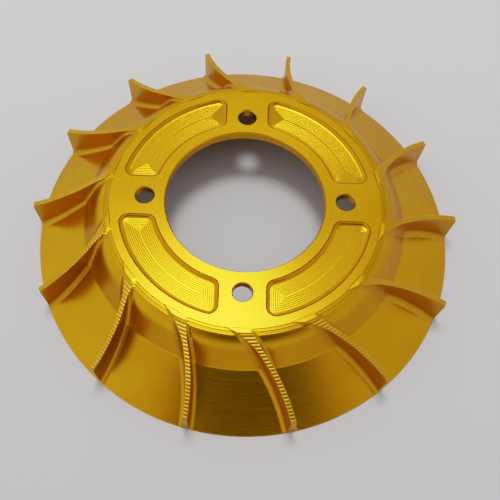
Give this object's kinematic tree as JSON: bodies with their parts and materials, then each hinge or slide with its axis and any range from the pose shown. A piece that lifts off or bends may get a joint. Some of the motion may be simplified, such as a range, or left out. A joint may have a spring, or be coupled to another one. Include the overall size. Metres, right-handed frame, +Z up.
{
  "type": "flywheel cooling fan",
  "caption": "Gold anodised cooling fan wheel with a flat bolt-on ring, a conical skirt and curved radial blades, for a small engine's flywheel.",
  "frame": {"origin": "on the wheel's axis, in the plane of the rim's base", "axes": "+Z up the axis from the rim towards the mounting flange; the four bolt holes lie on +X, +Y, -X and -Y"},
  "size_m": [0.1442, 0.1442, 0.0221],
  "materials": {
    "anodised_flange": "fine-faced and gold anodised, satin",
    "anodised_cone": "ball-milled in fine rings and gold anodised, satin",
    "anodised_blade": "side-milled walls, ridged top edge, gold anodised"
  },
  "bodies": {
    "root": {"mounting_flange": "anodised_flange", "cone_wall": "anodised_cone", "rim_skirt": "anodised_cone", "blade_01": "anodised_blade", "blade_02": "anodised_blade", "blade_03": "anodised_blade", "blade_04": "anodised_blade", "blade_05": "anodised_blade", "blade_06": "anodised_blade", "blade_07": "anodised_blade", "blade_08": "anodised_blade", "blade_09": "anodised_blade", "blade_10": "anodised_blade", "blade_11": "anodised_blade", "blade_12": "anodised_blade", "blade_13": "anodised_blade", "blade_14": "anodised_blade"}
  },
  "joints": []
}
